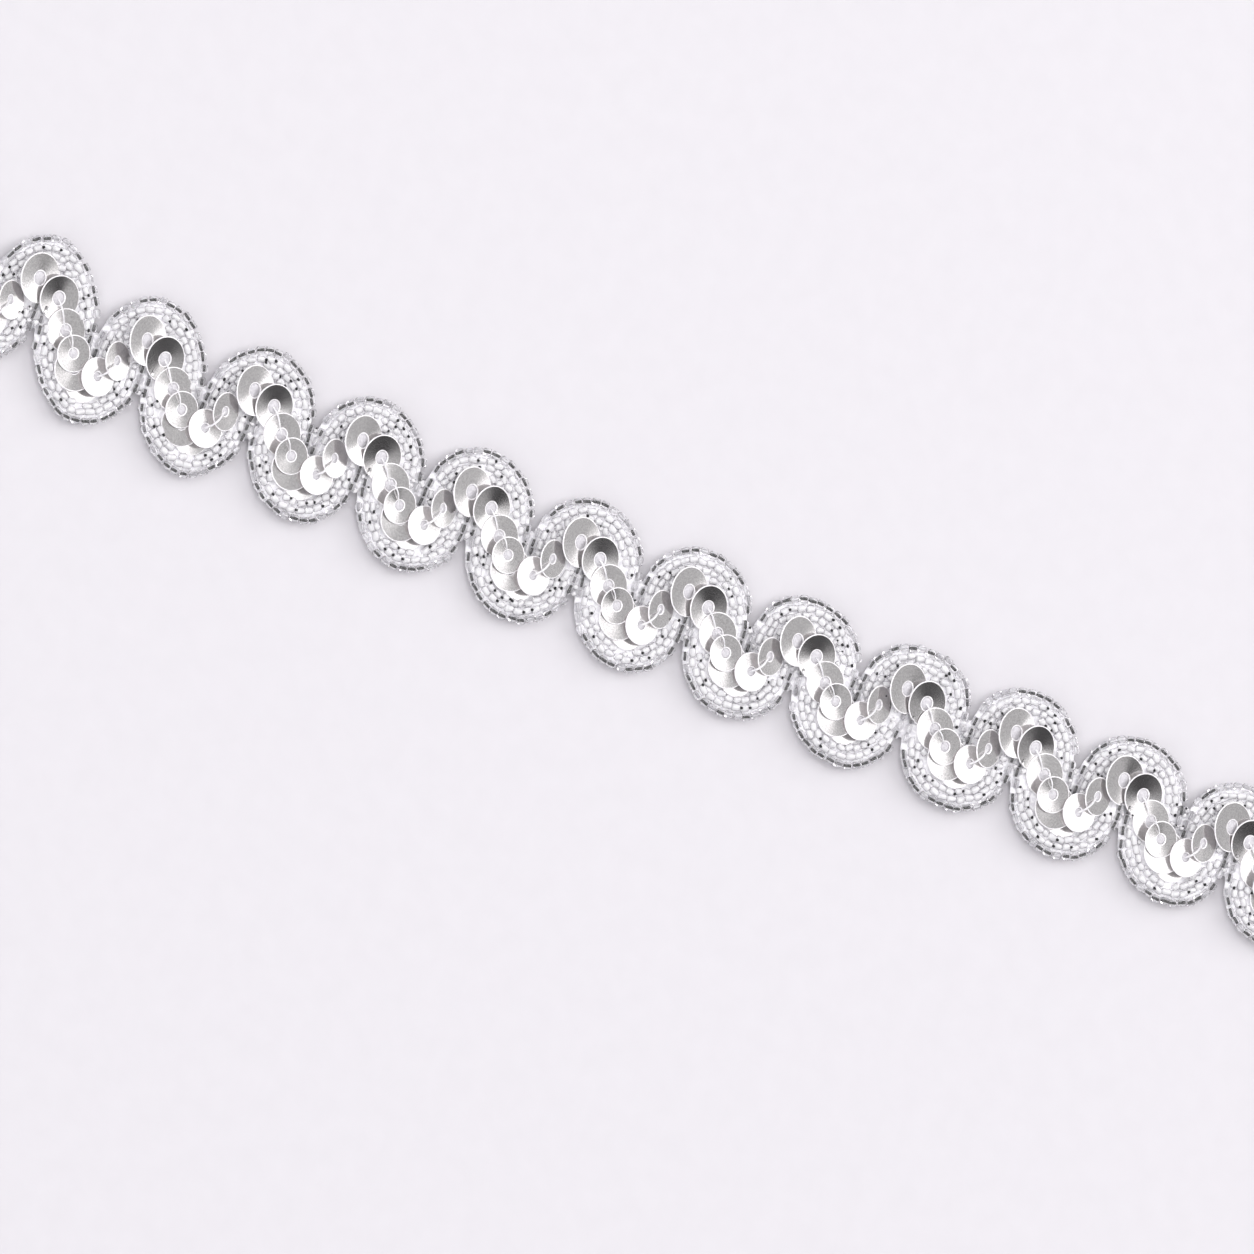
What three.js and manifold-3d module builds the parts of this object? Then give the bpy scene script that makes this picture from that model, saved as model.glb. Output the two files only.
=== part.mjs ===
// A cut length of beaded sequin trim, lying flat: a waved net ground with a row of glass beads
// along each scalloped edge, a second row inside it, and a run of overlapping sequins down the
// middle. Millimetres, +Z up, X along the trim, Y across it, origin under the middle of its box.
import * as THREE from 'three';
import { mergeVertices } from 'three/addons/utils/BufferGeometryUtils.js';
import Module from 'manifold-3d';

const wasm = await Module();
wasm.setup();

// Driving sizes
const REPEATS = 13;
const PITCH = 20.5;           // from the top of one scallop to the next
const FIRST_LOBE = -6;        // number of the scallop at the left cut end
const CUT_MARGIN = 1.0;       // ground left outside the first and last scallop's middle
const CUT_CORNER = 0.2;       // shortest edge of the ground beside a cut
const LOBE_OFFSET = 1.5;      // a scallop's centre stands this far off the trim's middle line
const EDGE_RADIUS = 9.65;     // to the middle of the outer bead row
const UPPER_SLIP = 0.25;      // the upper scallops stand this far right of half way
const ROW_STEP = 1.38;        // from one bead row to the next
const BEAD = 1.4;             // bead thickness
const ROW_FOOT = 0.96;        // a bead row's width at its foot and at its crest
const ROW_CREST = 0.7;
const GROUND_THICK = 1.0;     // net with its sewing threads
const GAP = 0.3;              // between pieces that touch on the real trim
const SEQUIN_THICK = 0.45;
const SEQUIN_STEP = 0.25;     // height from one sequin of a run to the one that lies on it
const RUN_STEP = 0.85;        // the same where one run's first sequin lies on the run before
const CUT_OVERHANG = 2.0;     // a sequin reaching further past the left cut is left off
const TEST_RINGS = 4;         // spots on a sequin that are tested against those under it
const TEST_TURN = 10;
const SEQUIN_SIDES = 12;
const HOLE_SIDES = 6;
const GROUND_STEPS = 12;
const EDGE_ROW_STEPS = 12;
const INNER_ROW_STEPS = 10;
const EDGE_ROW_REACH = 92;    // degrees to each side of a scallop's top
const NOTCH_Y = { upper: -0.1, lower: -0.7 };  // where the edge rows of two scallops meet

const groundTop = GROUND_THICK;
const rowFoot = groundTop + GAP;
const rowTop = groundTop + BEAD;
const start = FIRST_LOBE * PITCH - CUT_MARGIN;
const end = (FIRST_LOBE + REPEATS) * PITCH + CUT_MARGIN;

// How unevenly the trim lies: each upper scallop's slip along the trim, its rise across it, and
// the rise of the lower scallop that follows
const LIE = [
  { lobe: -7, along: 0.6, top: 5.4, foot: 4.2 },
  { lobe: -6, along: 0.6, top: 4.0, foot: 2.2 },
  { lobe: -5, along: 0.5, top: 3.0, foot: 0.6 },
  { lobe: -4, along: 0.5, top: 0.9, foot: -0.1 },
  { lobe: -3, along: 0.1, top: 0.9, foot: 0.5 },
  { lobe: -2, along: 0.0, top: 0.6, foot: 0.4 },
  { lobe: -1, along: -0.1, top: 0.4, foot: 0.2 },
  { lobe: 0, along: 0.0, top: 0.1, foot: 0.2 },
  { lobe: 1, along: -0.1, top: 0.0, foot: 0.4 },
  { lobe: 2, along: -0.1, top: 0.0, foot: 0.5 },
  { lobe: 3, along: 0.1, top: 0.2, foot: 1.3 },
  { lobe: 4, along: 0.1, top: 1.0, foot: 1.3 },
  { lobe: 5, along: 0.1, top: 1.2, foot: 1.8 },
  { lobe: 6, along: 0.0, top: 1.2, foot: 2.3 },
  { lobe: 7, along: 0.0, top: 2.6, foot: 3.0 },
  { lobe: 8, along: 0.0, top: 3.4, foot: 3.8 },
];

// The sequins of one repeat in the order they are laid: x and y from the scallop's middle,
// size and hole across, lean is the compass side that is propped up and tilt by how much
const SEQUINS = [
  { name: 'top', x: -2.0, y: 4.25, size: 7.9, hole: 2.2, lean: 203, tilt: 14 },
  { name: 'second', x: 2.1, y: 3.1, size: 7.2, hole: 2.1, lean: 175, tilt: 11 },
  { name: 'third', x: 5.1, y: -0.2, size: 6.8, hole: 1.9, lean: 150, tilt: 9 },
  { name: 'turn_low', x: 10.9, y: -4.9, size: 6.8, hole: 0, lean: 180, tilt: 1 },
  { name: 'turn_mid', x: 8.6, y: -4.2, size: 7.0, hole: 0, lean: 60, tilt: 1 },
  { name: 'fourth', x: 7.3, y: -2.6, size: 5.8, hole: 1.6, lean: 135, tilt: 9 },
  { name: 'turn_top', x: 12.6, y: -3.6, size: 6.1, hole: 1.4, lean: 190, tilt: 4 },
  { name: 'last', x: 14.8, y: -0.1, size: 6.1, hole: 1.4, lean: 201, tilt: 20 },
];

// The second bead row's reach on each scallop, in degrees from its top, left and right
const INNER_ROW_REACH = {
  upper: { from: -82, to: 70 },
  lower: { from: -74, to: 80 },
};

const MATERIALS = {
  ground: new THREE.MeshStandardMaterial({ color: 0xdcdbe0, roughness: 0.9, metalness: 0 }),
  bead: new THREE.MeshStandardMaterial({ color: 0xd9d9dd, roughness: 0.2, metalness: 0.3 }),
  sequin: new THREE.MeshStandardMaterial({ color: 0xc4c4c6, roughness: 0.15, metalness: 1 }),
};

const radians = THREE.MathUtils.degToRad;

// Smooth value between the steps of a list
function smoothBetween(place, count, valueAt) {
  const step = Math.min(Math.max(Math.floor(place), 1), count - 3);
  const t = place - step;
  const [a, b, c, d] = [-1, 0, 1, 2].map((next) => valueAt(step + next));
  return b + 0.5 * t * (c - a + t * (2 * a - 5 * b + 4 * c - d + t * (3 * (b - c) + d - a)));
}

function lieAt(x) {
  const lobe = x / PITCH - LIE[0].lobe;
  const riseOf = (half) => (half % 2 === 0 ? LIE[half / 2].top : LIE[(half - 1) / 2].foot);
  return {
    along: smoothBetween(lobe, LIE.length, (row) => LIE[row].along),
    across: smoothBetween(lobe * 2, LIE.length * 2, riseOf),
  };
}

// Lays a geometry, made on a straight line, along the uneven line of the trim
function layOut(geometry) {
  const place = geometry.attributes.position;
  for (let i = 0; i < place.count; i += 1) {
    const lie = lieAt(place.getX(i));
    place.setX(i, place.getX(i) + lie.along);
    place.setY(i, place.getY(i) + lie.across);
  }
  return geometry;
}

function toSolid(geometry) {
  const bare = geometry.clone();
  bare.deleteAttribute('normal');
  bare.deleteAttribute('uv');
  const merged = mergeVertices(bare, 1e-4);
  return new wasm.Manifold(new wasm.Mesh({
    numProp: 3,
    vertProperties: new Float32Array(merged.attributes.position.array),
    triVerts: new Uint32Array(merged.index.array),
  }));
}

function toGeometry(solid) {
  const mesh = solid.getMesh();
  const geometry = new THREE.BufferGeometry();
  geometry.setAttribute('position', new THREE.BufferAttribute(mesh.vertProperties, 3));
  geometry.setIndex(new THREE.BufferAttribute(mesh.triVerts, 1));
  geometry.computeVertexNormals();
  return geometry;
}

function fuse(geometries) {
  const solids = geometries.map(toSolid);
  return toGeometry(solids.reduce((whole, piece) => whole.add(piece)));
}

// A point on a scallop's circle. side is 1 for the upper scallops and -1 for the lower ones
function onScallop(middle, side, radius, degrees) {
  const angle = radians(degrees);
  const slip = side > 0 ? UPPER_SLIP : 0;
  return new THREE.Vector2(
    middle + slip + radius * Math.sin(angle),
    side * (LOBE_OFFSET + radius * Math.cos(angle)),
  );
}

// The edge of the ground between the two cuts, left to right, on one side
function groundEdge(side) {
  const points = [];
  const halfTurn = THREE.MathUtils.radToDeg(Math.asin(PITCH / 2 / (EDGE_RADIUS + BEAD / 2)));
  const firstMiddle = side > 0 ? 0 : -0.5;
  for (let k = firstMiddle; k <= REPEATS + 0.5; k += 1) {
    const middle = (FIRST_LOBE + k) * PITCH;
    for (let step = 0; step < GROUND_STEPS; step += 1) {
      const degrees = -halfTurn + (2 * halfTurn * step) / GROUND_STEPS;
      const point = onScallop(middle, side, EDGE_RADIUS + BEAD / 4, degrees);
      if (point.x > start + CUT_CORNER && point.x < end - CUT_CORNER) {
        points.push(point);
      }
    }
  }
  points.unshift(new THREE.Vector2(start, points[0].y));
  points.push(new THREE.Vector2(end, points[points.length - 1].y));
  return points;
}

function makeGround() {
  const outline = [...groundEdge(-1), ...groundEdge(1).reverse()];
  return new THREE.ExtrudeGeometry(new THREE.Shape(outline), {
    depth: GROUND_THICK,
    bevelEnabled: false,
  });
}

// A bead row's section: flat under, rounded over, as (down, sideways) from its foot
function rowSection() {
  const height = rowTop - rowFoot;
  return new THREE.Shape([
    new THREE.Vector2(0, ROW_FOOT / 2),
    new THREE.Vector2(-height, ROW_CREST / 2),
    new THREE.Vector2(-height, -ROW_CREST / 2),
    new THREE.Vector2(0, -ROW_FOOT / 2),
  ]);
}

function rowRoute(middle, side, radius, from, to, steps) {
  const route = [];
  for (let step = 0; step <= steps; step += 1) {
    const point = onScallop(middle, side, radius, from + ((to - from) * step) / steps);
    route.push(new THREE.Vector3(point.x, point.y, rowFoot));
  }
  return route;
}

function makeRow(route) {
  return new THREE.ExtrudeGeometry(rowSection(), {
    steps: route.length - 1,
    bevelEnabled: false,
    extrudePath: new THREE.CatmullRomCurve3(route),
  });
}

// The scallops of one side, with how far each reaches before the cut ends
function scallops(side) {
  const list = [];
  const cut = THREE.MathUtils.radToDeg(Math.asin(CUT_MARGIN / 2 / EDGE_RADIUS));
  for (let k = 0; k < REPEATS + (side > 0 ? 1 : 0); k += 1) {
    list.push({
      middle: (FIRST_LOBE + k + (side > 0 ? 0 : 0.5)) * PITCH,
      from: side > 0 && k === 0 ? -cut : -EDGE_ROW_REACH,
      to: side > 0 && k === REPEATS ? cut : EDGE_ROW_REACH,
    });
  }
  return list;
}

function makeEdgeRow(side) {
  const notchY = side > 0 ? NOTCH_Y.upper : NOTCH_Y.lower;
  const notch = (x) => new THREE.Vector3(x, notchY, rowFoot);
  const slip = side > 0 ? UPPER_SLIP : 0;
  const rows = scallops(side).map(({ middle, from, to }) => {
    const steps = Math.ceil((EDGE_ROW_STEPS * (to - from)) / (2 * EDGE_ROW_REACH));
    const route = rowRoute(middle, side, EDGE_RADIUS, from, to, steps);
    if (from === -EDGE_ROW_REACH) {
      route.unshift(notch(middle + slip - PITCH / 2));
    }
    if (to === EDGE_ROW_REACH) {
      route.push(notch(middle + slip + PITCH / 2));
    }
    return makeRow(route);
  });
  return fuse(rows);
}

function makeInnerRow({ middle, from, to }, side) {
  const reach = side > 0 ? INNER_ROW_REACH.upper : INNER_ROW_REACH.lower;
  const first = Math.max(from, reach.from);
  const last = Math.min(to, reach.to);
  const steps = Math.ceil((INNER_ROW_STEPS * (last - first)) / (reach.to - reach.from));
  return makeRow(rowRoute(middle, side, EDGE_RADIUS - ROW_STEP, first, last, steps));
}

// Height of a sequin's middle surface over a spot, as if its middle lay at height 0
function slopeAt(sequin, x, y) {
  const lean = radians(sequin.lean);
  const reach = (x - sequin.x) * Math.cos(lean) + (y - sequin.y) * Math.sin(lean);
  return reach * Math.tan(radians(sequin.tilt));
}

function covers(sequin, x, y) {
  return Math.hypot(x - sequin.x, y - sequin.y) < sequin.size / 2;
}

// Lets each sequin down on those laid before it, until it rests on them or on the ground. Two
// repeats are laid, and the second one, which has a whole run before it, gives the heights
function dropSequins() {
  const laid = [];
  for (let repeat = 0; repeat < 2; repeat += 1) {
    for (const [order, row] of SEQUINS.entries()) {
      const sequin = { ...row, x: row.x + repeat * PITCH };
      const lowRim = (sequin.size / 2) * Math.sin(radians(sequin.tilt));
      let height = rowFoot + SEQUIN_THICK / 2 + lowRim;
      for (const under of laid) {
        const step = order === 0 ? RUN_STEP : SEQUIN_STEP;
        for (let ring = 1; ring <= TEST_RINGS; ring += 1) {
          const reach = ((sequin.size / 2) * ring) / TEST_RINGS;
          for (let turn = 0; turn < 360; turn += TEST_TURN) {
            const x = sequin.x + reach * Math.cos(radians(turn));
            const y = sequin.y + reach * Math.sin(radians(turn));
            if (covers(under, x, y)) {
              const need = under.height + slopeAt(under, x, y) + step - slopeAt(sequin, x, y);
              height = Math.max(height, need);
            }
          }
        }
      }
      laid.push({ ...sequin, height });
    }
  }
  return laid.slice(SEQUINS.length).map((sequin) => ({ ...sequin, x: sequin.x - PITCH }));
}

function makeSequin(sequin, lobe) {
  const ring = (across, sides) => {
    const points = [];
    for (let i = 0; i < sides; i += 1) {
      const turn = (2 * Math.PI * (i + 0.5)) / sides;
      points.push(new THREE.Vector2(Math.cos(turn), Math.sin(turn)).multiplyScalar(across / 2));
    }
    return points;
  };
  const disc = new THREE.Shape(ring(sequin.size, SEQUIN_SIDES));
  if (sequin.hole > 0) {
    disc.holes.push(new THREE.Path(ring(sequin.hole, HOLE_SIDES)));
  }
  const geometry = new THREE.ExtrudeGeometry(disc, { depth: SEQUIN_THICK, bevelEnabled: false });
  geometry.translate(0, 0, -SEQUIN_THICK / 2);
  geometry.rotateY(-radians(sequin.tilt));
  geometry.rotateZ(radians(sequin.lean));
  geometry.translate(sequin.x + lobe * PITCH, sequin.y, sequin.height);
  return geometry;
}

function makeRun(laid, lobe) {
  const whole = lobe > FIRST_LOBE;
  const sequins = laid.filter(({ x, size }) => whole || x - size / 2 > -CUT_OVERHANG);
  return fuse(sequins.map((sequin) => makeSequin(sequin, lobe)));
}

const pieces = [];

function addPiece(name, geometry, material) {
  pieces.push({ name, geometry: layOut(geometry), material });
}

function label(k) {
  return String(k + 1).padStart(2, '0');
}

addPiece('ground', makeGround(), MATERIALS.ground);
addPiece('edge_row_upper', makeEdgeRow(1), MATERIALS.bead);
addPiece('edge_row_lower', makeEdgeRow(-1), MATERIALS.bead);

for (const side of [1, -1]) {
  for (const [k, scallop] of scallops(side).entries()) {
    const name = `inner_row_${side > 0 ? 'upper' : 'lower'}_${label(k)}`;
    addPiece(name, makeInnerRow(scallop, side), MATERIALS.bead);
  }
}

const laidSequins = dropSequins();
for (let k = 0; k < REPEATS; k += 1) {
  addPiece(`sequin_run_${label(k)}`, makeRun(laidSequins, FIRST_LOBE + k), MATERIALS.sequin);
}

// Moves the whole trim so that the origin is under the middle of its box
const box = new THREE.Box3();
for (const { geometry } of pieces) {
  geometry.computeBoundingBox();
  box.union(geometry.boundingBox);
}
const middle = box.getCenter(new THREE.Vector3());

const trim = new THREE.Group();
for (const { name, geometry, material } of pieces) {
  const mesh = new THREE.Mesh(geometry, material);
  mesh.name = name;
  mesh.position.set(-middle.x, -middle.y, -box.min.z);
  trim.add(mesh);
}

export default trim;
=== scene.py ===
"""Beaded sequin trim lying flat on a pale table: net ground, silver-lined glass tube beads along
both scalloped edges, clear seed beads inside them, and cupped sequins sewn down the middle.

Sizes in the tables are millimetres in the trim's drawing coordinates: X along the trim from the
middle of scallop 0, Y across it. place() carries them to metres in the CAD frame.
"""

import math
import random

import bmesh
import bpy
from mathutils import Matrix, Vector


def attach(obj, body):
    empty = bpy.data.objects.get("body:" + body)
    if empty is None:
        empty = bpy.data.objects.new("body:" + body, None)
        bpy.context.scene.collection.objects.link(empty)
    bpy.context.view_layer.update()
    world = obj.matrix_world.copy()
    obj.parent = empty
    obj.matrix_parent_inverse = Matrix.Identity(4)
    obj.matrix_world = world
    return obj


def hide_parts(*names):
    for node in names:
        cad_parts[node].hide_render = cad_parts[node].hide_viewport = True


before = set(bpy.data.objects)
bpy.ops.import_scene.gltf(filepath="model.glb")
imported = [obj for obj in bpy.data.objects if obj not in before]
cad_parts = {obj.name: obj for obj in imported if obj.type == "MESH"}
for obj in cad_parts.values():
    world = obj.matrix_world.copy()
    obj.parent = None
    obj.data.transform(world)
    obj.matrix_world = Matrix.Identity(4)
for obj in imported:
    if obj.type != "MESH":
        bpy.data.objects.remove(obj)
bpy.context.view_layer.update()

# Driving sizes, the same as the CAD source's
MM = 0.001
REPEATS = 13
PITCH = 20.5
FIRST_LOBE = -6
CUT_MARGIN = 1.0
LOBE_OFFSET = 1.5
EDGE_RADIUS = 9.65
UPPER_SLIP = 0.25
ROW_STEP = 1.38                       # from the tube row's line to the second row's
CUT_OVERHANG = 2.0                    # of a sequin beyond the cut; with more it is left off
NET_TOP = 1.0
DRAWING_MIDDLE = (10.339, 1.953)      # the middle of the CAD box in drawing coordinates
START = FIRST_LOBE * PITCH - CUT_MARGIN
END = (FIRST_LOBE + REPEATS) * PITCH + CUT_MARGIN

# The net as it is drawn here, thinner than the solid and pressed up by what is sewn to it
END_ROOM = 0.6                        # bare net at both cut ends
NET_THICKNESS = 0.5
NET_OVERHANG = 0.12                   # of the net beyond the middles of the tube beads
NOTCH_REACH = 2.9                     # half the net's width where two scallops meet
NET_HEAP = 0.35                       # how far the beads press the net up between them
HEAP_FADE = 1.2                       # beyond a sequin's rim, where it still holds the net down
HEAP_CLEARANCE = 0.35                 # of a sequin above the heaped net
NET_SINK = 0.04                       # of the net's top below the solid's
NET_RIPPLE = 0.06
NET_GRID = (1072, 16)                 # faces along and across

# How unevenly the trim lies: slip along it at each upper scallop, rise across it there and at the
# lower scallop that follows
LIE = [
    (0.6, 5.4, 4.2), (0.6, 4.0, 2.2), (0.5, 3.0, 0.6), (0.5, 0.9, -0.1),
    (0.1, 0.9, 0.5), (0.0, 0.6, 0.4), (-0.1, 0.4, 0.2), (0.0, 0.1, 0.2),
    (-0.1, 0.0, 0.4), (-0.1, 0.0, 0.5), (0.1, 0.2, 1.3), (0.1, 1.0, 1.3),
    (0.1, 1.2, 1.8), (0.0, 1.2, 2.3), (0.0, 2.6, 3.0), (0.0, 3.4, 3.8),
]
LIE_FIRST_LOBE = -7

# Sequins of one repeat in the order they are sewn: x, y, size and hole across, the compass side
# that is propped up, and by how many degrees
SEQUINS = [
    ("top", -1.94, 4.28, 7.9, 2.2, 180, 15.2),
    ("second", 2.2, 3.14, 7.2, 2.1, 149, 11.4),
    ("third", 5.25, -0.14, 6.8, 1.9, 156, 3.6),
    ("turn_low", 10.9, -4.9, 6.8, 1.6, 173, 3.3),
    ("turn_mid", 8.6, -4.2, 7.0, 1.6, 63, 3.5),
    ("fourth", 7.45, -2.54, 5.8, 1.6, 124, 5.3),
    ("turn_top", 12.6, -3.6, 6.1, 1.4, 191, 5.0),
    ("last", 14.8, -0.1, 6.1, 1.4, 190, 22.3),
]
SEQUIN_FILM = 0.15                    # thickness of the film
SEQUIN_LIP = 0.17                     # width of the pale line along rim and hole, a painted highlight
SEQUIN_CUP = 4.3                      # degrees that the cup's wall rises to its rim
SEQUIN_LAP = 0.17                     # height from one sequin to the one that lies on it
SEQUIN_PROP = 0.15                    # most that thread props a sequin up to the one above it
SEQUIN_FACETS = 36
NET_CLEARANCE = 0.12                  # of a sequin's low rim above the net
HIDDEN_REACH = 1.6                    # in from a sequin's rim, where no bead under it shows
MISSES = 9.0                          # stands for the room under a sequin that lies on nothing
SEWN_BEFORE = 12                      # sequins that a new one can come to lie on
SEWN_AFTER = 8                        # sequins that can come to lie on a sequin

TUBE_RADIUS = 0.56
TUBE_LENGTH = 1.42
TUBE_PITCH = 1.63
BORE_RADIUS = 0.15
BORE_LENGTH = 1.02
SEED_RADIUS = 0.58
SEED_LENGTH = 1.2
BEAD_HEIGHT = 1.62                    # of the beads' middles above the table
ARC_REACH = 72                        # degrees of a scallop whose beads lie on its circle
SPECK_SHARE = 0.26                    # of the seed beads show a dark bore end: a speck of painted shade
SPECK_RISE = 0.47                     # of that bore end above the bead's middle
NOTCH_BEADS = [(0.70, -0.25), (0.80, 1.35), (0.93, 2.95)]   # in from the notch, and out from y 0
LOOSE_TRIES = 6000                    # at random places, for full-size seed beads
SMALL_TRIES = 6000                    # then for small ones in the gaps that are left
LOOSE_REACH = 8.6                     # radius of a scallop's net inside which those are tried

chance = random.Random(11)


# Where things lie

def smooth_between(place, count, value_at):
    """Value at a place between a table's entries, on a smooth curve through all of them."""
    step = min(max(math.floor(place), 1), count - 3)
    t = place - step
    a, b, c, d = (value_at(step + k) for k in (-1, 0, 1, 2))
    return b + 0.5 * t * (c - a + t * (2 * a - 5 * b + 4 * c - d + t * (3 * (b - c) + d - a)))


def place(x, y, z=0.0):
    """A drawing point, laid along the uneven line of the trim, in metres in the CAD frame."""
    lobe = x / PITCH - LIE_FIRST_LOBE
    along = smooth_between(lobe, len(LIE), lambda k: LIE[k][0])
    across = smooth_between(lobe * 2, len(LIE) * 2, lambda k: LIE[k // 2][1 + k % 2])
    return Vector((
        (x + along - DRAWING_MIDDLE[0]) * MM,
        (y + across - DRAWING_MIDDLE[1]) * MM,
        z * MM,
    ))


def on_scallop(middle, side, radius, degrees):
    """A point on a scallop's circle, turned by degrees from the scallop's outermost point."""
    angle = math.radians(degrees)
    slip = UPPER_SLIP if side > 0 else 0.0
    return (
        middle + slip + radius * math.sin(angle),
        side * (LOBE_OFFSET + radius * math.cos(angle)),
    )


def scallop_middles(side):
    """X of every scallop's middle on one side: 1 for the upper edge, -1 for the lower."""
    count = REPEATS + (1 if side > 0 else 0)
    return [(FIRST_LOBE + k + (0 if side > 0 else 0.5)) * PITCH for k in range(count)]


def slope_of(sequin, x, y):
    """Height of a sequin's surface over a drawing point, as if its middle lay at height 0."""
    lean = math.radians(sequin["lean"])
    dx, dy = x - sequin["x"], y - sequin["y"]
    tilted = (dx * math.cos(lean) + dy * math.sin(lean)) * math.tan(math.radians(sequin["tilt"]))
    return tilted + (math.hypot(dx, dy) - sequin["size"] / 4) * math.tan(math.radians(SEQUIN_CUP))


def room_under(sequin, under):
    """How far a sequin could come down before it lies on the one under it."""
    room = MISSES
    for ring in range(5):
        reach = sequin["size"] / 2 * ring / 4
        for turn in range(0, 360, 12):
            px = sequin["x"] + reach * math.cos(math.radians(turn))
            py = sequin["y"] + reach * math.sin(math.radians(turn))
            if math.hypot(px - under["x"], py - under["y"]) < under["size"] / 2:
                gap = (
                    sequin["height"] + slope_of(sequin, px, py)
                    - under["height"] - slope_of(under, px, py)
                )
                room = min(room, gap - SEQUIN_LAP)
    return room


def lay_sequins():
    """Every sequin of the trim, let down in sewing order on those that lie under it, and then
    propped up a little towards those above it.
    """
    laid = []
    for k in range(REPEATS):
        for name, x, y, size, hole, lean, tilt in SEQUINS:
            x += (FIRST_LOBE + k) * PITCH
            sequin = {
                "run": k,
                "name": name,
                "x": x + chance.uniform(-0.12, 0.12),
                "y": y + chance.uniform(-0.12, 0.12),
                "size": size * chance.uniform(0.985, 1.0),
                "hole": hole,
                "lean": lean + chance.uniform(-9, 9),
                "tilt": tilt + chance.uniform(-1.5, 1.5),
                "bend": chance.uniform(-0.012, 0.012),
                "turn": chance.uniform(0, 360),
            }
            if k == 0 and x - size / 2 < FIRST_LOBE * PITCH - CUT_OVERHANG:
                continue
            low = (size / 2) * math.sin(math.radians(sequin["tilt"]))
            sequin["height"] = NET_TOP + NET_CLEARANCE + low
            lifts = [room_under(sequin, under) for under in laid[-SEWN_BEFORE:]]
            sequin["height"] -= min([0.0] + lifts)
            laid.append(sequin)
    for k in reversed(range(len(laid))):
        over_it = [room_under(over, laid[k]) for over in laid[k + 1:k + 1 + SEWN_AFTER]]
        if over_it and min(over_it) < MISSES:
            laid[k]["height"] += max(0.0, min(SEQUIN_PROP, min(over_it)))
    return laid


def clear_of_sequins(x, y, room, top, laid):
    """Whether a bead at x, y lies beside the sequins or under them."""
    for sequin in laid:
        dx, dy = x - sequin["x"], y - sequin["y"]
        away = math.hypot(dx, dy)
        if away < sequin["size"] / 2 + room:
            inside = min(1.0, sequin["size"] / 2 / max(away, 1e-6))
            near_x, near_y = sequin["x"] + dx * inside, sequin["y"] + dy * inside
            height = sequin["height"] + slope_of(sequin, near_x, near_y)
            if height - SEQUIN_FILM < top or away < sequin["size"] / 2 - HIDDEN_REACH:
                return False
    return True


def edge_route(side):
    """Middles of the tube beads along each scallop of one edge, in order, notches included."""
    routes = []
    for middle in scallop_middles(side):
        reach = 2 * math.radians(ARC_REACH) * EDGE_RADIUS
        count = round(reach / TUBE_PITCH)
        turns = [-ARC_REACH + 2 * ARC_REACH * (k + 0.5) / count for k in range(count)]
        arc = [on_scallop(middle, side, EDGE_RADIUS, turn) for turn in turns]
        slip = UPPER_SLIP if side > 0 else 0.0
        left, right = middle + slip - PITCH / 2, middle + slip + PITCH / 2
        if side > 0 and middle == FIRST_LOBE * PITCH:
            arc = [p for p in arc if p[0] > START + END_ROOM]
            rising = []
        else:
            rising = [(left + dx, side * y) for dx, y in NOTCH_BEADS]
        if side > 0 and middle == (FIRST_LOBE + REPEATS) * PITCH:
            arc = [p for p in arc if p[0] < END - END_ROOM]
            falling = []
        else:
            falling = [(right - dx, side * y) for dx, y in reversed(NOTCH_BEADS)]
        routes.append(rising + arc + falling)
    return routes


# Meshes

def finished_piece(bm, name, materials):
    mesh = bpy.data.meshes.new(name)
    bm.to_mesh(mesh)
    bm.free()
    for material in materials:
        mesh.materials.append(material)
    mesh.polygons.foreach_set("use_smooth", [True] * len(mesh.polygons))
    piece = bpy.data.objects.new(name, mesh)
    bpy.context.scene.collection.objects.link(piece)
    return piece


def bead_shape(radius, length, rounding, sides):
    """One bead on the Z axis, in metres: a tube with its ends eased."""
    bm = bmesh.new()
    bmesh.ops.create_cone(bm, cap_ends=True, cap_tris=False, segments=sides,
                          radius1=radius * MM, radius2=radius * MM, depth=length * MM)
    ends = [e for e in bm.edges if abs(e.verts[0].co.z - e.verts[1].co.z) < 1e-7]
    bmesh.ops.bevel(bm, geom=ends, offset=rounding * MM, offset_type="OFFSET", segments=1,
                    profile=0.5, affect="EDGES", material=-1)
    mesh = bpy.data.meshes.new("bead_shape")
    bm.to_mesh(mesh)
    bm.free()
    mesh.attributes.new("tone", "FLOAT", "POINT")
    return mesh


def add_shape(bm, shape, matrix, tone):
    """Joins a copy of a shape to a piece, with its own tone."""
    mesh = shape.copy()
    mesh.transform(matrix)
    mesh.attributes["tone"].data.foreach_set("value", [tone] * len(mesh.vertices))
    bm.from_mesh(mesh)
    bpy.data.meshes.remove(mesh)


def along(start, end, at, roll):
    """Matrix that turns a shape's Z axis to the line from start to end, and moves it to a place."""
    turn = Vector((0, 0, 1)).rotation_difference((end - start).normalized())
    return Matrix.Translation(at) @ turn.to_matrix().to_4x4() @ Matrix.Rotation(roll, 4, "Z")


# Materials

def paint(code):
    """An sRGB hex colour as linear RGBA."""
    parts = [int(code[k:k + 2], 16) / 255 for k in (1, 3, 5)]
    return [p / 12.92 if p <= 0.04045 else ((p + 0.055) / 1.055) ** 2.4 for p in parts] + [1.0]


def add(tree, kind, inputs=(), **settings):
    """Adds a node with its settings, and its inputs set or linked."""
    node = tree.nodes.new(kind)
    for name, value in settings.items():
        setattr(node, name, value)
    for socket, value in dict(inputs).items():
        if isinstance(value, bpy.types.NodeSocket):
            tree.links.new(value, node.inputs[socket])
        else:
            node.inputs[socket].default_value = value
    return node


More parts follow.
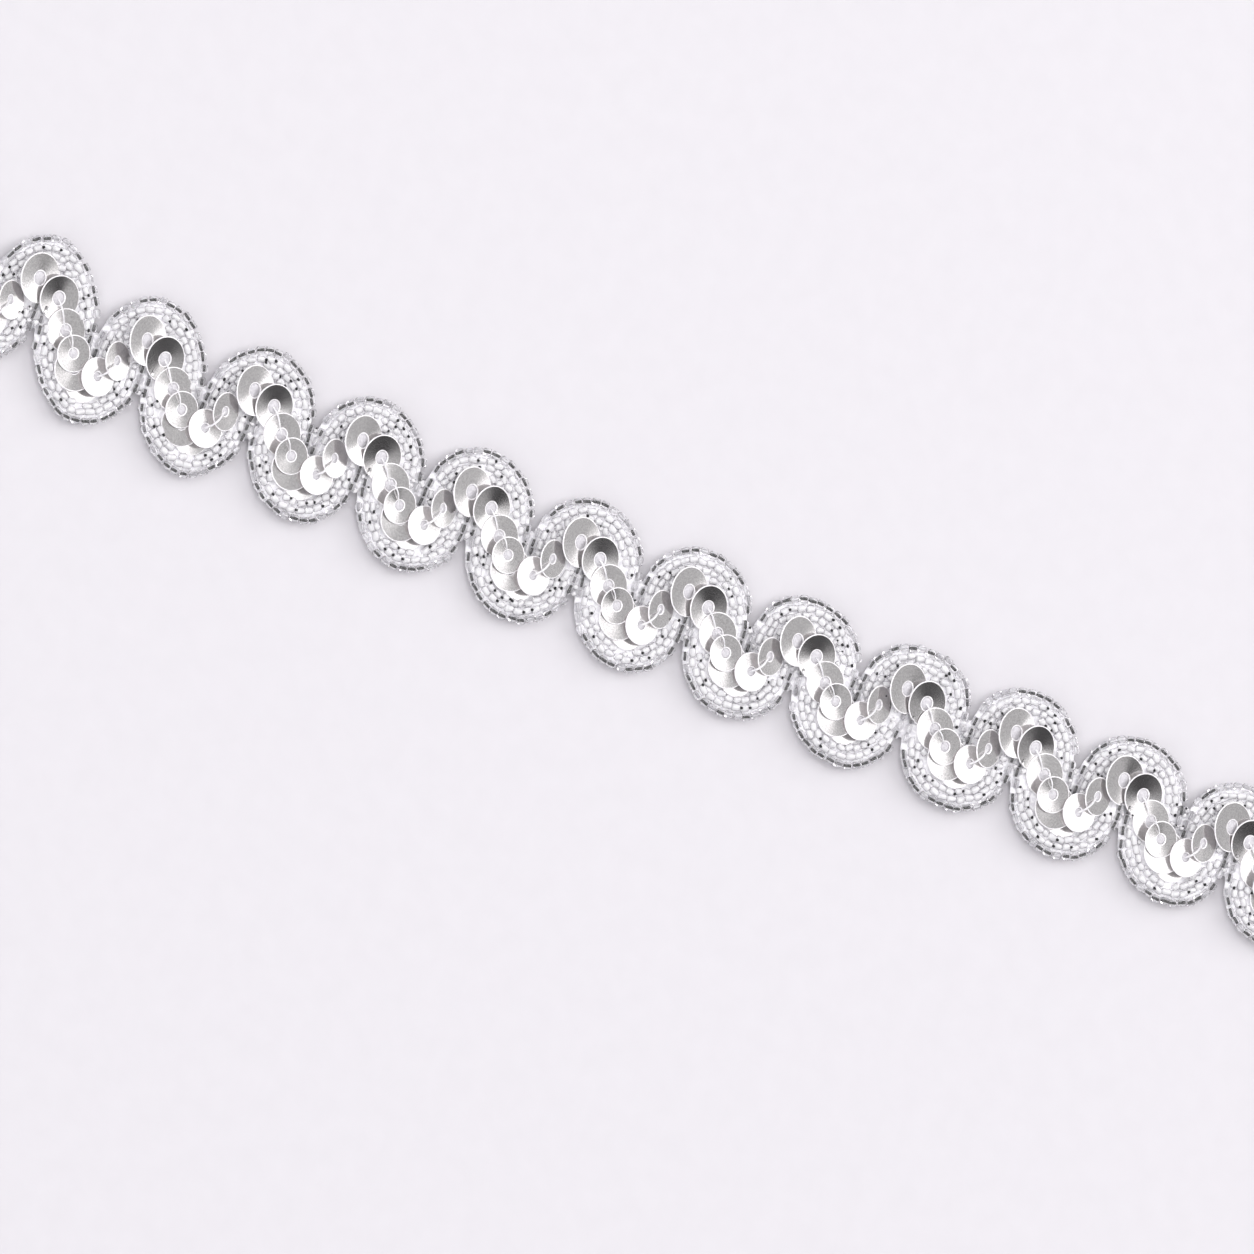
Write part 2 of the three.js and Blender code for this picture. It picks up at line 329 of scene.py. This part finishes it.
def ramp(tree, factor, stops):
    node = add(tree, "ShaderNodeValToRGB", {"Fac": factor})
    while len(node.color_ramp.elements) < len(stops):
        node.color_ramp.elements.new(0.5)
    for element, (at, code) in zip(node.color_ramp.elements, stops):
        element.position = at
        element.color = paint(code)
    return node.outputs["Color"]


def new_material(name):
    material = bpy.data.materials.new(name)
    material.use_nodes = True
    tree = material.node_tree
    tree.nodes.clear()
    shader = add(tree, "ShaderNodeBsdfPrincipled")
    add(tree, "ShaderNodeOutputMaterial", {"Surface": shader.outputs["BSDF"]})
    return material, tree, shader


def object_place(tree):
    return add(tree, "ShaderNodeTexCoord").outputs["Object"]


def metallised_film():
    # Vacuum-silvered polyester film, heat-cupped: mirror-like, with a faint grain from the coating
    # (0.3 mm, coarser than real so that it shows) and spokes where the punch stretched it
    material, tree, shader = new_material("vacuum_metallised_film")
    at = object_place(tree)
    grain = add(tree, "ShaderNodeTexNoise", {"Vector": at, "Scale": 1 / (0.3 * MM), "Detail": 3.0})
    around = add(tree, "ShaderNodeAttribute", attribute_name="spoke", attribute_type="GEOMETRY")
    outward = {0: around.outputs["Vector"]}
    one_way = add(tree, "ShaderNodeVectorMath", outward, operation="NORMALIZE")
    spokes = add(tree, "ShaderNodeTexNoise", {
        "Vector": one_way.outputs["Vector"], "Scale": 14.0, "Detail": 2.0,
    })
    relief = {0: spokes.outputs["Fac"], 1: grain.outputs["Fac"]}
    drawn = add(tree, "ShaderNodeMath", relief, operation="ADD")
    colour = ramp(tree, grain.outputs["Fac"], [(0.3, "#DEDCDB"), (0.7, "#F4F2F1")])
    bump = add(tree, "ShaderNodeBump", {
        "Height": drawn.outputs["Value"], "Strength": 0.05, "Distance": 0.02 * MM,
    })
    shader.inputs["Metallic"].default_value = 1.0
    shader.inputs["Roughness"].default_value = 0.16
    tree.links.new(colour, shader.inputs["Base Color"])
    tree.links.new(bump.outputs["Normal"], shader.inputs["Normal"])
    return material


def film_back():
    # The back of the film, white-lacquered over the silver: pale with a dull shine and a mottle
    material, tree, shader = new_material("silvered_film_back")
    at = object_place(tree)
    mottle = add(tree, "ShaderNodeTexNoise", {"Vector": at, "Scale": 1 / (0.7 * MM), "Detail": 2.0})
    colour = ramp(tree, mottle.outputs["Fac"], [(0.3, "#E4E2E3"), (0.7, "#F2F0F1")])
    tree.links.new(colour, shader.inputs["Base Color"])
    shader.inputs["Metallic"].default_value = 0.3
    shader.inputs["Roughness"].default_value = 0.45
    return material


def edge_highlight_film():
    # The film's cut edge at the hole shows the clear polyester core; a pale band on the top of the
    # film along rim and hole stands in for the bright line the rims catch: painted highlight
    material, tree, shader = new_material("cut_edge_and_painted_highlight")
    at = object_place(tree)
    highlight_mottle = add(tree, "ShaderNodeTexNoise", {"Vector": at, "Scale": 1 / (0.6 * MM), "Detail": 2.0})
    colour = ramp(tree, highlight_mottle.outputs["Fac"], [(0.35, "#D9D7D8"), (0.65, "#FBFAFB")])
    tree.links.new(colour, shader.inputs["Base Color"])
    shader.inputs["Roughness"].default_value = 0.3
    return material


def glass(name, edge_on_shade, clearness, roughness):
    # Drawn soda-lime glass with a white milky body and clear light through its middle. Its base
    # colour is painted grey where the wall is seen edge on: painted shade for the dark surroundings
    # seen through the wall. Slight waves from drawing break up its highlights
    material, tree, shader = new_material(name)
    at = object_place(tree)
    waves = add(tree, "ShaderNodeTexNoise", {"Vector": at, "Scale": 1 / (0.5 * MM), "Detail": 1.0})
    bump = add(tree, "ShaderNodeBump", {
        "Height": waves.outputs["Fac"], "Strength": 0.08, "Distance": 0.06 * MM,
    })
    tree.links.new(bump.outputs["Normal"], shader.inputs["Normal"])
    wall = add(tree, "ShaderNodeLayerWeight", {"Blend": 0.5})
    # Painted shade: the base colour turns grey towards the wall seen edge on
    colour = ramp(tree, wall.outputs["Facing"], [
        (0.0, "#FEFEFE"), (0.42, "#FBFAFC"), (0.66, edge_on_shade), (0.9, "#E4E2E7"),
    ])
    tree.links.new(colour, shader.inputs["Base Color"])
    shader.inputs["Transmission Weight"].default_value = clearness
    shader.inputs["Roughness"].default_value = roughness
    shader.inputs["IOR"].default_value = 1.5
    return material


def painted_bore_shade_and_reflection():
    # Silvering in the beads' bores, drawn in flat colour picked at random for each bead: painted
    # shade for dark dashes, where the bore looks dark through the glass, and for dark bore ends;
    # painted reflection for bright dashes, where the silver mirrors the light
    material, tree, shader = new_material("bore_painted_shade_and_reflection")
    tone = add(tree, "ShaderNodeAttribute", attribute_name="tone", attribute_type="GEOMETRY")
    # Dark stops are painted shade, bright stops painted reflection
    colour = ramp(tree, tone.outputs["Fac"], [
        (0.0, "#0D0C0E"), (0.62, "#1A191B"), (0.66, "#A3A1A6"), (1.0, "#EDECEF"),
    ])
    tree.links.new(colour, shader.inputs["Base Color"])
    shader.inputs["Roughness"].default_value = 0.5
    return material


def bead_thread():
    # White polyester sewing thread seen through the seed beads, with a twist of 0.4 mm
    material, tree, shader = new_material("polyester_thread")
    at = object_place(tree)
    turns_per_metre = 1 / (0.4 * MM)
    twist = add(tree, "ShaderNodeTexWave", {
        "Vector": at, "Scale": turns_per_metre / 6.3, "Distortion": 1.0,
    }, bands_direction="DIAGONAL")
    colour = ramp(tree, twist.outputs["Fac"], [(0.0, "#B9B8BD"), (0.6, "#F7F7F8")])
    tree.links.new(colour, shader.inputs["Base Color"])
    shader.inputs["Roughness"].default_value = 0.55
    return material


def shaded_thread_wad():
    # Sewing thread packed in a sequin's hole, felted, with 0.3 mm strands: its pale lilac-grey,
    # darker than the white thread in the beads, is painted shade for the hole
    material, tree, shader = new_material("packed_thread_painted_shade")
    at = object_place(tree)
    strands = add(tree, "ShaderNodeTexNoise", {
        "Vector": at, "Scale": 1 / (0.3 * MM), "Detail": 1.0,
    })
    colour = ramp(tree, strands.outputs["Fac"], [(0.35, "#B7B5B9"), (0.65, "#CAC8CB")])
    bump = add(tree, "ShaderNodeBump", {
        "Height": strands.outputs["Fac"], "Strength": 0.3, "Distance": 0.05 * MM,
    })
    tree.links.new(colour, shader.inputs["Base Color"])
    tree.links.new(bump.outputs["Normal"], shader.inputs["Normal"])
    shader.inputs["Roughness"].default_value = 0.6
    return material


def net_fabric():
    # White polyester net, knitted in small cells, with sewing thread run through it: thin grey
    # gaps between pale threads. Real cells are about 0.8 mm; drawn at 0.9 mm so that they show
    material, tree, shader = new_material("polyester_net")
    at = object_place(tree)
    cells = add(tree, "ShaderNodeTexVoronoi", {
        "Vector": at, "Scale": 1 / (0.9 * MM), "Randomness": 0.7,
    }, feature="DISTANCE_TO_EDGE")
    colour = ramp(tree, cells.outputs["Distance"], [
        (0.02, "#FDFDFE"), (0.10, "#F9F8FA"), (0.22, "#E9E8EC"), (0.45, "#F3F2F5"),
    ])
    bump = add(tree, "ShaderNodeBump", {
        "Height": cells.outputs["Distance"], "Strength": 0.6, "Distance": 0.15 * MM,
    }, invert=True)
    tree.links.new(colour, shader.inputs["Base Color"])
    tree.links.new(bump.outputs["Normal"], shader.inputs["Normal"])
    shader.inputs["Roughness"].default_value = 0.7
    shader.inputs["Sheen Weight"].default_value = 0.3
    return material


def monofilament():
    # Clear nylon thread: glossy, slightly milky where it passes over the film
    material, tree, shader = new_material("clear_nylon_thread")
    at = object_place(tree)
    haze = add(tree, "ShaderNodeTexNoise", {"Vector": at, "Scale": 1 / (0.8 * MM)})
    colour = ramp(tree, haze.outputs["Fac"], [(0.3, "#DEDDE0"), (0.7, "#FFFFFF")])
    tree.links.new(colour, shader.inputs["Base Color"])
    shader.inputs["Transmission Weight"].default_value = 0.3
    shader.inputs["Roughness"].default_value = 0.15
    shader.inputs["IOR"].default_value = 1.53
    return material


def table_paper():
    # Uncoated pale lilac paper: matt, with a barely visible tooth
    material, tree, shader = new_material("pale_paper")
    at = object_place(tree)
    tooth = add(tree, "ShaderNodeTexNoise", {"Vector": at, "Scale": 1 / (4 * MM), "Detail": 4.0})
    colour = ramp(tree, tooth.outputs["Fac"], [(0.3, "#C4C2C5"), (0.7, "#C6C4C7")])
    tree.links.new(colour, shader.inputs["Base Color"])
    shader.inputs["Roughness"].default_value = 0.9
    return material


# The trim

def heap_at(x, y):
    """How high the net and its threads are pushed up at a place, clear of the sequins."""
    heap = NET_HEAP
    for sequin in laid:
        away = math.hypot(x - sequin["x"], y - sequin["y"])
        if away < sequin["size"] / 2 + HEAP_FADE:
            under = sequin["height"] + slope_of(sequin, x, y) - NET_TOP - HEAP_CLEARANCE
            heap = min(heap, max(0.0, under))
    return heap


def make_net():
    """The net: a grid whose rows run from the lower scallops to the upper ones, made a sheet."""
    columns, rows = NET_GRID
    outer = EDGE_RADIUS + NET_OVERHANG

    def edge(x, side):
        best = NOTCH_REACH
        for middle in scallop_middles(side):
            dx = x - middle - (UPPER_SLIP if side > 0 else 0.0)
            if abs(dx) < outer:
                best = max(best, LOBE_OFFSET + math.sqrt(outer * outer - dx * dx))
        return side * best

    bm = bmesh.new()
    bmesh.ops.create_grid(bm, x_segments=columns, y_segments=rows, size=0.5)
    for vert in bm.verts:
        u, v = vert.co.x + 0.5, vert.co.y + 0.5
        x = START + (END - START) * u
        low, high = edge(x, -1), edge(x, 1)
        ease = NET_RIPPLE * math.sin(x * 2.1) * math.sin(v * 19)
        y = low + (high - low) * v
        heap = heap_at(x, y) if 0.01 < v < 0.99 else 0.0
        vert.co = place(x, y, NET_TOP - NET_SINK + ease + heap)
    bmesh.ops.recalc_face_normals(bm, faces=bm.faces)
    return bm


def sequin_shape(size, hole):
    """A cupped sequin round the Z axis, in metres: its section, spun once round."""
    bm = bmesh.new()
    wall = math.tan(math.radians(SEQUIN_CUP))
    middle = size / 4
    lip = SEQUIN_LIP
    section = [
        (hole / 2, -0.02), (hole / 2 + lip, 0.02), (size / 2 - lip, 0.0), (size / 2 - 0.05, -0.02),
        (size / 2, -0.12), (size / 2 - lip, -SEQUIN_FILM), (hole / 2, -SEQUIN_FILM),
    ]
    verts = [bm.verts.new((r * MM, 0, ((r - middle) * wall + dz) * MM)) for r, dz in section]
    edges = [bm.edges.new((a, b)) for a, b in zip(verts, verts[1:] + verts[:1])]
    bmesh.ops.spin(bm, geom=verts + edges, cent=(0, 0, 0), axis=(0, 0, 1), angle=2 * math.pi,
                   steps=SEQUIN_FACETS, use_merge=True, use_duplicate=False)
    bmesh.ops.remove_doubles(bm, verts=bm.verts, dist=1e-8)
    bmesh.ops.recalc_face_normals(bm, faces=bm.faces)
    # A band along rim and hole takes the pale edge colour, a painted highlight; the outer wall and
    # the underside take the back
    for face in bm.faces:
        reach = face.calc_center_median().to_2d().length / MM
        if face.normal.z < 0 or reach > size / 2 - 0.05:
            face.material_index = 2
        elif reach > size / 2 - lip or reach < hole / 2 + lip:
            face.material_index = 1
    for edge in bm.edges:
        a, b = (v.co.to_2d().length for v in edge.verts)
        edge.smooth = abs(a - b) > 1e-6
    mesh = bpy.data.meshes.new("sequin_shape")
    bm.to_mesh(mesh)
    bm.free()
    mesh.attributes.new("tone", "FLOAT", "POINT")
    spoke = mesh.attributes.new("spoke", "FLOAT_VECTOR", "POINT")
    for vert, point in zip(mesh.vertices, spoke.data):
        point.vector = vert.co.normalized() * Vector((1, 1, 0))
    return mesh


def bend_shape(shape, bend):
    """A copy of a shape, bent a little about one line."""
    mesh = shape.copy()
    for vert in mesh.vertices:
        vert.co.z += bend * vert.co.x ** 2 / MM
    return mesh


def sequin_matrix(sequin):
    """Matrix that turns a sequin's shape, tilts it toward its propped side and lays it in place."""
    at = place(sequin["x"], sequin["y"], sequin["height"])
    lean = math.radians(sequin["lean"])
    return (
        Matrix.Translation(at)
        @ Matrix.Rotation(lean, 4, "Z")
        @ Matrix.Rotation(-math.radians(sequin["tilt"]), 4, "Y")
        @ Matrix.Rotation(math.radians(sequin["turn"]), 4, "Z")
    )


def hang(piece, slot, *nodes):
    """A piece rides on the trim's one body and stands for its nodes, whose parts it hides. The slot
    is not used.
    """
    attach(piece, "root")
    if nodes:
        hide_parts(*nodes)
    return piece


laid = lay_sequins()

film, highlight_and_cut_edge, back = metallised_film(), edge_highlight_film(), film_back()
# The second argument is the grey of the painted shade where each glass's wall is seen edge on
tube_glass = glass("drawn_tube_glass", "#E6E4E8", 0.96, 0.02)
seed_glass = glass("pressed_seed_glass", "#C2C0C4", 0.5, 0.05)
bore_shade_and_reflection, thread_white = painted_bore_shade_and_reflection(), bead_thread()
nylon = monofilament()

net = finished_piece(make_net(), "net_ground", [net_fabric()])
sheet_thickness = net.modifiers.new("net_thickness", "SOLIDIFY")
sheet_thickness.thickness = NET_THICKNESS * MM
sheet_thickness.offset = -1.0
hang(net, "ground_net", "ground")

# The shapes that all beads are copies of: radius, length, rounding and sides
tube = bead_shape(TUBE_RADIUS, TUBE_LENGTH, 0.2, 10)
bore = bead_shape(BORE_RADIUS, BORE_LENGTH, 0.04, 6)
seed = bead_shape(SEED_RADIUS, SEED_LENGTH, 0.17, 10)
seed_core = bead_shape(0.16, SEED_LENGTH + 0.1, 0.05, 5)
speck = bead_shape(0.22, 0.4, 0.06, 6)
speck_bm = bmesh.new()
taken = []

# Edge beads: one piece of glass and one of silvered bore for each edge
for side, label in ((1, "upper"), (-1, "lower")):
    glass_bm, bore_bm = bmesh.new(), bmesh.new()
    for route in edge_route(side):
        for k, (x, y) in enumerate(route):
            x += chance.uniform(-0.15, 0.15)
            y += chance.uniform(-0.15, 0.15)
            before, after = route[max(k - 1, 0)], route[min(k + 1, len(route) - 1)]
            at = place(x, y, BEAD_HEIGHT + chance.uniform(-0.04, 0.04))
            matrix = along(place(*before), place(*after), at, chance.uniform(0, 1))
            matrix = matrix @ Matrix.Rotation(math.radians(chance.gauss(0, 4)), 4, "Y")
            tone = chance.random()
            add_shape(glass_bm, tube, matrix, tone)
            length = chance.uniform(0.75, 1.1)
            add_shape(bore_bm, bore, matrix @ Matrix.Diagonal((1, 1, length, 1)), tone)
            taken.append((x, y))
    piece = finished_piece(glass_bm, f"edge_beads_{label}", [tube_glass])
    hang(piece, "glass_bead", f"edge_row_{label}")
    core = finished_piece(bore_bm, f"edge_bores_{label}", [bore_shade_and_reflection])
    hang(core, "glass_bead")


def room_among_beads(x, y, room):
    """Whether no bead that is already sewn lies within that room of a place."""
    return all(abs(x - px) > room or math.hypot(x - px, y - py) > room for px, py in taken)


# Second row and the loose fill between it and the sequins: radius, reach each way in degrees, room
# for a bead, bead pitch, shortest and longest bead, and how far it wanders in mm and in degrees
FILL_RINGS = [
    (EDGE_RADIUS - ROW_STEP, 96, 1.04, 1.60, 1.05, 1.36, 0.14, 9),
    (7.15, 96, 0.98, 1.46, 0.85, 1.30, 0.20, 16),
    (6.05, 80, 0.96, 1.34, 0.75, 1.15, 0.24, 28),
    (4.95, 60, 0.96, 1.28, 0.70, 1.10, 0.24, 34),
]
group_names = ("inner_beads_upper", "inner_beads_lower", "fill_beads")
groups = {label: (bmesh.new(), bmesh.new()) for label in group_names}


def sew_seed(label, x, y, heading, room, length, slim=1.0):
    """Adds a seed bead to a group, where there is room for it; slim makes it narrower."""
    if not START + END_ROOM < x < END - END_ROOM or not room_among_beads(x, y, room):
        return
    if not clear_of_sequins(x, y, 0.35 * slim, BEAD_HEIGHT + 0.5, laid):
        return
    line = Vector((math.cos(heading), math.sin(heading), 0))
    at = place(x, y, BEAD_HEIGHT - 0.06 + chance.uniform(-0.1, 0.06))
    matrix = along(Vector((0, 0, 0)), line, at, chance.uniform(0, 1))
    wide = slim * chance.uniform(0.84, 1.02)
    matrix = matrix @ Matrix.Diagonal((wide, wide, length, 1))
    tone = chance.random()
    add_shape(groups[label][0], seed, matrix, tone)
    add_shape(groups[label][1], seed_core, matrix, tone)
    # A near-black speck on the bead's end: painted shade for its bore opening
    if tone < SPECK_SHARE:
        end = line * (0.5 * SEED_LENGTH * length * MM) + Vector((0, 0, SPECK_RISE * MM))
        add_shape(speck_bm, speck, Matrix.Translation(end) @ matrix, 0.1)
    taken.append((x, y))


for radius, reach, room, pitch, shortest, longest, wander, spread in FILL_RINGS:
    for side in (1, -1):
        label = "fill_beads"
        if radius > 8:
            label = "inner_beads_upper" if side > 0 else "inner_beads_lower"
        step = math.degrees(pitch / radius)
        for middle in scallop_middles(side):
            degrees = -reach + chance.uniform(0, step)
            while degrees < reach:
                x, y = on_scallop(middle, side, radius + chance.uniform(-wander, wander), degrees)
                heading = -side * math.radians(degrees + chance.gauss(0, spread))
                sew_seed(label, x, y, heading, room, chance.uniform(shortest, longest))
                degrees += step * chance.uniform(0.94, 1.05)


def on_scallops(x, y):
    """Whether a place lies well inside the net of some scallop."""
    for side in (1, -1):
        slip = UPPER_SLIP if side > 0 else 0.0
        for middle in scallop_middles(side):
            inside = math.hypot(x - middle - slip, y - side * LOBE_OFFSET) < LOOSE_REACH
            if inside and abs(x - middle) < 9 and side * y > -3.5:
                return True
    return False


for attempt in range(LOOSE_TRIES + SMALL_TRIES):
    x = chance.uniform(START + 1, END - 1)
    y = chance.uniform(-10, 10)
    if on_scallops(x, y):
        heading = chance.uniform(0, math.pi)
        if attempt < LOOSE_TRIES:
            sew_seed("fill_beads", x, y, heading, 1.0, chance.uniform(0.7, 1.0))
        else:
            sew_seed("fill_beads", x, y, heading, 0.84, chance.uniform(0.5, 0.7), 0.75)
hang(finished_piece(speck_bm, "bore_specks", [bore_shade_and_reflection]), "glass_bead")

for label, (glass_bm, core_bm) in groups.items():
    piece = finished_piece(glass_bm, label, [seed_glass])
    nodes = []
    if label.startswith("inner"):
        nodes = [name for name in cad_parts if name.startswith(label.replace("beads", "row"))]
    hang(piece, "glass_bead", *nodes)
    core = finished_piece(core_bm, label.replace("beads", "cores"), [thread_white])
    hang(core, "ground_net")

# Sequins: one piece for each run
shapes = {name: sequin_shape(size, hole) for name, _, _, size, hole, _, _ in SEQUINS}
for run in range(REPEATS):
    bm = bmesh.new()
    for sequin in laid:
        if sequin["run"] == run:
            bent = bend_shape(shapes[sequin["name"]], sequin["bend"])
            add_shape(bm, bent, sequin_matrix(sequin), 0.0)
            bpy.data.meshes.remove(bent)
    piece = finished_piece(bm, f"sequins_{run + 1:02d}", [film, highlight_and_cut_edge, back])
    hang(piece, "sequin", f"sequin_run_{run + 1:02d}")

# Wads of thread that fill the sequins' holes, a little below the film
pad_bm = bmesh.new()
for sequin in laid:
    pad = bead_shape(sequin["hole"] / 2 - 0.04, 0.16, 0.05, 14)
    sunk = (sequin["hole"] / 2 - sequin["size"] / 4) * math.tan(math.radians(SEQUIN_CUP)) - 0.15
    add_shape(pad_bm, pad, sequin_matrix(sequin) @ Matrix.Translation((0, 0, sunk * MM)), 0.0)
    bpy.data.meshes.remove(pad)
hole_pads = hang(finished_piece(pad_bm, "hole_pads", [shaded_thread_wad()]), "ground_net")

# Clear thread from one sequin to the next, for the pairs listed in STITCHES, in every run
STITCHES = [("second", "third", 0.15), ("third", "fourth", 0.11), ("turn_top", "last", 0.18)]
thread_bm = bmesh.new()
for run in range(REPEATS):
    here = {sequin["name"]: sequin for sequin in laid if sequin["run"] == run}
    for low_name, high_name, thread_radius in STITCHES:
        a, b = here[low_name], here[high_name]
        low = place(a["x"], a["y"], a["height"] - 0.25)
        high = place(b["x"], b["y"], b["height"] - 0.25)
        gap = math.hypot(a["x"] - b["x"], a["y"] - b["y"])
        share = min(1.0, b["size"] / 2 / gap)
        over_x = b["x"] + (a["x"] - b["x"]) * share
        over_y = b["y"] + (a["y"] - b["y"]) * share
        over = place(over_x, over_y, b["height"] + slope_of(b, over_x, over_y) + 0.2)
        line = bpy.data.curves.new("stitch", "CURVE")
        line.dimensions = "3D"
        line.bevel_depth = thread_radius * MM
        line.bevel_resolution = 2
        line.use_fill_caps = True
        spline = line.splines.new("BEZIER")
        spline.bezier_points.add(2)
        for point, at in zip(spline.bezier_points, (low, over, high)):
            point.co = at
            point.handle_left_type = point.handle_right_type = "AUTO"
        curve = bpy.data.objects.new("stitch", line)
        bpy.context.scene.collection.objects.link(curve)
        bpy.context.view_layer.update()
        depsgraph = bpy.context.evaluated_depsgraph_get()
        mesh = bpy.data.meshes.new_from_object(curve.evaluated_get(depsgraph))
        thread_bm.from_mesh(mesh)
        bpy.data.objects.remove(curve)
        bpy.data.meshes.remove(mesh)
stitching = hang(finished_piece(thread_bm, "sewing_thread", [nylon]), "glass_bead")


# Table, lights and camera

# The picture's own axes on the table: the trim runs 21.48 degrees down to the right, and the
# camera stands 28.96 degrees off the upright, to the picture's left
PICTURE_TURN = math.radians(21.48)
CAMERA_LEAN = math.radians(28.955)
across_picture = Vector((math.cos(PICTURE_TURN), math.sin(PICTURE_TURN), 0))
up_picture = Vector((-math.sin(PICTURE_TURN), math.cos(PICTURE_TURN), 0))
PICTURE_MIDDLE = (10.57, -4.64, 1.7)
PICTURE_WIDTH = 192.33
CAMERA_DISTANCE = 6.0
SOFTBOX_DISTANCE = 2.2
LAMP_COLOUR = (1.0, 0.985, 1.0)
WINDOW_LIGHT = (1.18, 1.165, 1.21, 1.0)   # of the room's side to the picture's left
FLAG_AIM = (43.0, -23.8)              # middle of the dark flag, degrees right and up

# Degrees right and up off the upright, degrees of roll, width and height in metres, strength, and
# whether the film's mirrors show it
SOFTBOXES = [
    ("key_softbox", 52.2, 13.5, 35, 2.04, 1.29, 1.15, True),
    ("key_lamp", 52.2, 11.6, 35, 2.04, 1.29, 2.35, False),
    ("low_softbox", 68, 18.8, -21, 1.32, 1.0, 1.15, True),
    ("low_lamp", 68, 18.8, -21, 1.32, 1.0, 1.75, False),
    ("fill_softbox", -30, 24, 0, 2.0, 2.0, 1.15, True),
    ("fill_lamp", -30, 24, 0, 2.0, 2.0, 0.35, False),
    ("top_lamp", -10, 10, 0, 2.4, 2.4, 0.78, False),
    ("window_lamp", -60, 0, 0, 2.6, 2.6, 0.5, False),
]

target = Vector((
    (PICTURE_MIDDLE[0] - DRAWING_MIDDLE[0]) * MM,
    (PICTURE_MIDDLE[1] - DRAWING_MIDDLE[1]) * MM,
    PICTURE_MIDDLE[2] * MM,
))


def aim(right, up):
    """Direction that stands right and up degrees off the upright, by the picture's axes."""
    off = math.hypot(right, up)
    flat = (across_picture * right + up_picture * up) / max(off, 1e-6)
    return Vector((0, 0, 1)) * math.cos(math.radians(off)) + flat * math.sin(math.radians(off))


def make_table():
    bm = bmesh.new()
    bmesh.ops.create_grid(bm, x_segments=4, y_segments=4, size=3.0)
    table = finished_piece(bm, "table", [table_paper()])


def make_softbox(name, right, up, roll, width, height, strength, mirrored):
    """A softbox that faces the trim. The film's mirrors show it only where it is mirrored."""
    lamp = bpy.data.lights.new(name, "AREA")
    lamp.shape = "RECTANGLE"
    lamp.size, lamp.size_y = width, height
    lamp.energy = strength * width * height * math.pi
    lamp.color = LAMP_COLOUR
    box = bpy.data.objects.new(name, lamp)
    bpy.context.scene.collection.objects.link(box)
    toward = aim(right, up)
    box.location = target + toward * SOFTBOX_DISTANCE
    side = up_picture.cross(toward).normalized()
    rise = toward.cross(side)
    turned = Matrix((side, rise, toward)).transposed() @ Matrix.Rotation(math.radians(roll), 3, "Z")
    box.rotation_euler = turned.to_euler()
    box.visible_camera = False
    box.visible_glossy = mirrored


def make_room():
    """The room the mirrors see: pale walls, a dark flag and a bright side to the picture's left."""
    world = bpy.data.worlds.new("studio_room")
    bpy.context.scene.world = world
    world.use_nodes = True
    tree = world.node_tree
    tree.nodes.clear()
    direction = add(tree, "ShaderNodeTexCoord").outputs["Generated"]
    toward_flag = {0: direction, 1: aim(*FLAG_AIM)}
    flag = add(tree, "ShaderNodeVectorMath", toward_flag, operation="DOT_PRODUCT")
    wall = ramp(tree, flag.outputs["Value"], [(0.976, "#BCBBBD"), (0.990, "#3A393B")])
    toward_window = {0: direction, 1: -across_picture}
    window = add(tree, "ShaderNodeVectorMath", toward_window, operation="DOT_PRODUCT")
    lit = add(tree, "ShaderNodeMapRange", {
        "Value": window.outputs["Value"], "From Min": -0.02, "From Max": 0.3,
    }, interpolation_type="SMOOTHSTEP")
    shade = add(tree, "ShaderNodeMix", {
        0: lit.outputs["Result"], 6: wall, 7: WINDOW_LIGHT,
    }, data_type="RGBA")
    background = add(tree, "ShaderNodeBackground", {"Color": shade.outputs[2], "Strength": 1.0})
    add(tree, "ShaderNodeOutputWorld", {"Surface": background.outputs["Background"]})


def make_camera():
    lens = bpy.data.cameras.new("camera")
    lens.sensor_width = 36.0
    lens.lens = lens.sensor_width * CAMERA_DISTANCE / (PICTURE_WIDTH * MM)
    lens.clip_start, lens.clip_end = 0.1, 50.0
    camera = bpy.data.objects.new("camera", lens)
    bpy.context.scene.collection.objects.link(camera)
    back = Vector((0, 0, 1)) * math.cos(CAMERA_LEAN) - across_picture * math.sin(CAMERA_LEAN)
    right = across_picture * math.cos(CAMERA_LEAN) + Vector((0, 0, 1)) * math.sin(CAMERA_LEAN)
    camera.location = target + back * CAMERA_DISTANCE
    camera.rotation_euler = Matrix((right, up_picture, back)).transposed().to_euler()
    bpy.context.scene.camera = camera


make_table()
make_room()
for softbox in SOFTBOXES:
    make_softbox(*softbox)
make_camera()
bpy.context.scene.view_settings.view_transform = "Standard"
